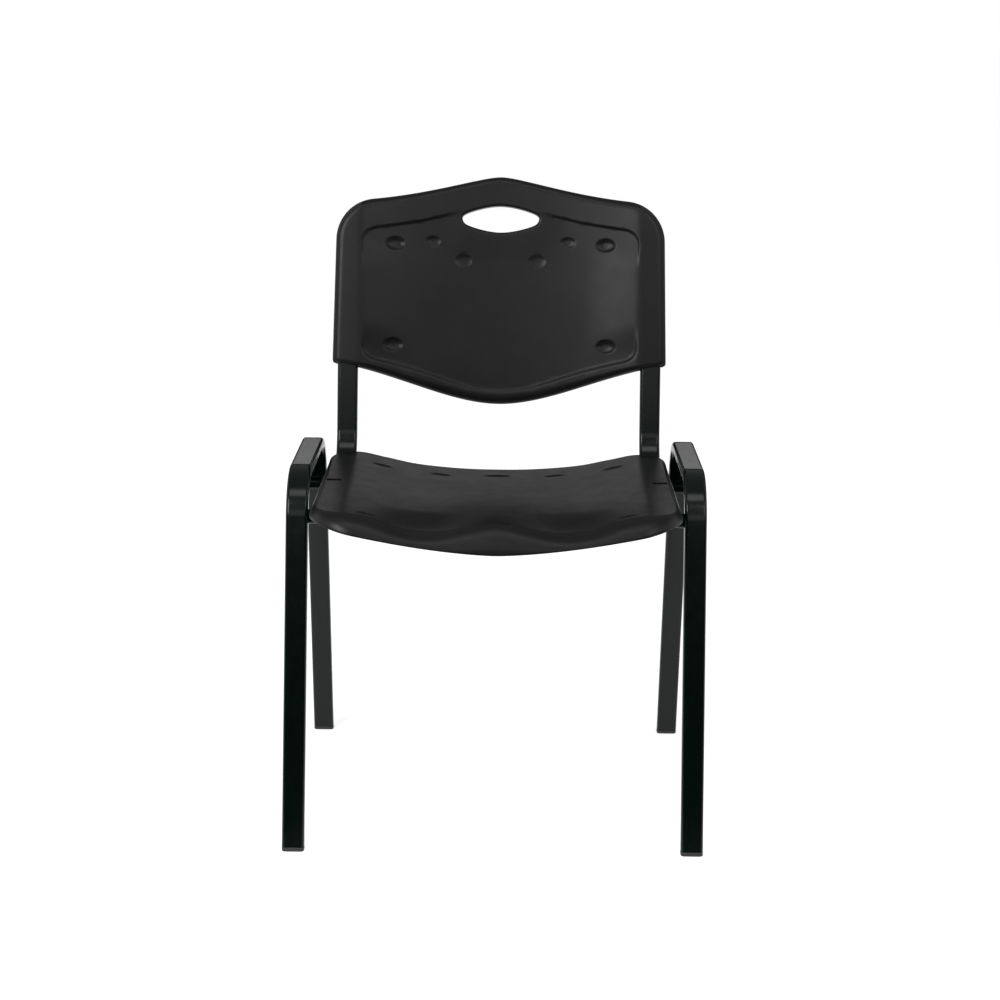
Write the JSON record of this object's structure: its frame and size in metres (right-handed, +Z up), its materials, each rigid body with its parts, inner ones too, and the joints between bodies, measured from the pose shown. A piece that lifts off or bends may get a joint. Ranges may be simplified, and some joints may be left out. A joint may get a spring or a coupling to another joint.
{
  "type": "stacking chair",
  "caption": "Stackable armless chair: moulded plastic seat shell and backrest with a hand grip, carried on a frame of flat-sided steel tube with a hoop at each side.",
  "frame": {"origin": "on the floor, under the middle of the chair's outer box", "axes": "+Z up, +X to the right for someone who faces the front of the chair, -Y out of the front"},
  "size_m": [0.545, 0.5268, 0.8248],
  "materials": {
    "frame": "black gloss powder coat",
    "foot": "black moulded polyethylene, matt",
    "plug": "black moulded polyethylene, matt",
    "shell": "black moulded polypropylene, fine satin grain",
    "screw": "zinc-plated steel"
  },
  "bodies": {
    "root": {"left_leg_hoop": "frame", "right_leg_hoop": "frame", "front_crossbar": "frame", "rear_crossbar": "frame", "left_seat_back_tube": "frame", "right_seat_back_tube": "frame", "front_left_foot": "foot", "front_right_foot": "foot", "rear_left_foot": "foot", "rear_right_foot": "foot", "front_crossbar_left_plug": "plug", "front_crossbar_right_plug": "plug", "rear_crossbar_left_plug": "plug", "rear_crossbar_right_plug": "plug", "left_seat_tube_plug": "plug", "right_seat_tube_plug": "plug", "left_upright_plug": "plug", "right_upright_plug": "plug", "seat_shell": "shell", "backrest_shell": "shell", "front_left_seat_washer": "screw", "front_right_seat_washer": "screw", "rear_left_seat_washer": "screw", "rear_right_seat_washer": "screw", "front_left_seat_screw": "screw", "front_right_seat_screw": "screw", "rear_left_seat_screw": "screw", "rear_right_seat_screw": "screw", "lower_left_backrest_screw": "screw", "lower_right_backrest_screw": "screw", "upper_left_backrest_screw": "screw", "upper_right_backrest_screw": "screw"}
  },
  "joints": []
}
